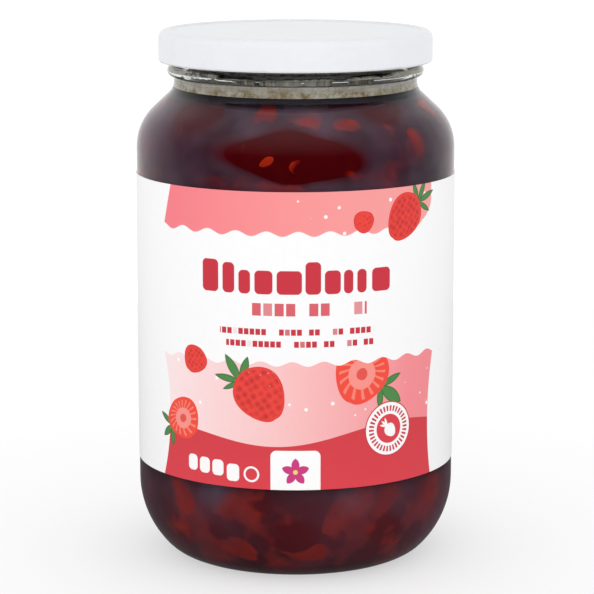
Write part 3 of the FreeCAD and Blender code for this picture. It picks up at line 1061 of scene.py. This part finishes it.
# %% Print the back and finish the paper
QUARTER = math.pi * label_high.x / MM / 2
INK_GREY = colour(98, 86, 90)
for middle, size, seed in (
    ((-QUARTER - 21, 63), (36, 24), 2),
    ((-QUARTER - 21, 29), (36, 22), 5),
    ((QUARTER + 21, 68), (36, 14), 9),
    ((QUARTER + 21, 36), (36, 34), 13),
    ((-QUARTER - 58, 46), (30, 54), 17),
):
    label.lay(label.rows(middle, size, 1.0, 2.4, 1.5, seed), INK_GREY)
TABLE = (QUARTER + 58, 46)
TABLE_SIZE = (31, 54)
inside_size = [side - 0.8 for side in TABLE_SIZE]
frame_mask = label.block(TABLE, *TABLE_SIZE, 0.6) - label.block(TABLE, *inside_size, 0.4)
rules = label.within(abs((v / 5.4).maths("FRACT") - 0.5), 0.03, 5.4) * label.block(TABLE, *TABLE_SIZE, 0.6)
label.lay(frame_mask.highest(rules), INK_GREY)
label.lay(label.rows((TABLE[0] - 6, TABLE[1]), (15, 53), 0.95, 2.7, 1.4, 21), INK_GREY)
label.lay(label.rows((TABLE[0] + 10, TABLE[1]), (7, 53), 1.1, 2.7, 1.4, 27), INK_GREY)
surface = label.principled(
    Base_Color=label.ink,
    Roughness=grain * 0.12 + 0.42,
    Specular_IOR_Level=0.35,
    Normal=label.bump(grain, 0.012 * MM),
)
wear(nodes["label"], label.output(surface))
print(f"label finished with {len(label.tree.nodes)} nodes")

# %% [markdown]
# ## Floor, light and background
# A pale round floor carries a soft shadow and is lifted to white away from the jar, so that it has no
# edge. Light that has passed through the glass sees it white, and reflections see it dark grey.

# %% Lay the floor
FLOOR_RADIUS = 0.42
deselect()
bpy.ops.mesh.primitive_circle_add(vertices=96, radius=FLOOR_RADIUS, fill_type="NGON", location=(0, 0, 0))
floor = bpy.context.object
floor.name = "floor"
ground = Finish("floor_paint")
ground_point, *_ = ground.place()
mottle = ground.noise(ground_point, 6.0)
paint = ground.principled(
    Base_Color=ground.mix(mottle, colour(247, 247, 247), colour(250, 250, 250)),
    Roughness=0.9,
    Specular_IOR_Level=0.0,
)
glow = ground.node("ShaderNodeEmission", None, {"Color": (1, 1, 1, 1), "Strength": 1.0})
dim = ground.node("ShaderNodeEmission", None, {"Color": (0.12, 0.12, 0.13, 1), "Strength": 1.0})
seen = ground.node("ShaderNodeLightPath", output="Is Camera Ray")
mirrored = ground.node("ShaderNodeLightPath", output="Is Glossy Ray")
from_jar = ground.node("ShaderNodeVectorMath", {"operation": "LENGTH"}, {0: ground_point}, "Value")
through = ground.node("ShaderNodeLightPath", output="Is Transmission Ray")
lifted = ((from_jar * 3.2 + 0.4).held() * seen).highest(through)
shown_floor = ground.node("ShaderNodeMixShader", None, {0: lifted, 1: paint, 2: glow})
wear(floor, ground.output(ground.node("ShaderNodeMixShader", None, {0: mirrored, 1: shown_floor, 2: dim})))

# %% [markdown]
# The air round the jar is white to the camera and through glass. Reflections see a studio that is dark
# in front and bright behind, so the glass has pale rims and a clear middle. Two large softboxes are kept
# out of the reflections.

# %% Set the studio round it
world = bpy.data.worlds.new("studio")
scene.world = world
world.use_nodes = True


class Surroundings(Finish):
    """The same node methods for the world."""

    def __init__(self, surroundings):
        self.tree = surroundings.node_tree
        self.tree.nodes.clear()


air = Surroundings(world)
way = air.node("ShaderNodeTexCoord", output="Generated")
_, way_y, way_z = air.parts(way)
DIFFUSE_LEVEL = 1.13
behind = way_y.maths("MULTIPLY_ADD", 0.85, 0.12, clamp=True)
overhead = way_z.maths("MULTIPLY_ADD", 0.6, -0.1, clamp=True)
reflected = behind.highest(overhead)
rays = ("Camera", "Glossy", "Transmission")
path = {kind: air.node("ShaderNodeLightPath", output=f"Is {kind} Ray") for kind in rays}
ambient = way_z.highest(0).maths("MULTIPLY_ADD", -0.36, DIFFUSE_LEVEL)
strength = air.node("ShaderNodeMix", None, {0: path["Glossy"], 2: ambient, 3: reflected})
strength = strength.highest(path["Camera"]).highest(path["Transmission"])
sky = air.node("ShaderNodeBackground", None, {"Color": (1, 1, 1, 1), "Strength": strength})
air.node("ShaderNodeOutputWorld", None, {"Surface": sky})


LIT_HEIGHT = 0.08


def softbox(name, place, size, power):
    """A large soft lamp aimed at the jar, out of sight of reflections."""
    light = bpy.data.lights.new(name, "AREA")
    light.shape = "RECTANGLE"
    light.size, light.size_y = size
    light.energy = power
    lamp = bpy.data.objects.new(name, light)
    lamp.location = place
    aim = Vector((0, 0, LIT_HEIGHT)) - Vector(place)
    lamp.rotation_euler = aim.to_track_quat("-Z", "Y").to_euler()
    lamp.visible_glossy = False
    lamp.visible_transmission = False
    lamp.visible_camera = False
    scene.collection.objects.link(lamp)


softbox("front_softbox", (-0.15, -1.3, 0.75), (1.0, 0.9), 2.3)
softbox("top_softbox", (0.1, -0.2, 1.3), (0.9, 0.9), 0.5)
scene.view_settings.view_transform = "Standard"
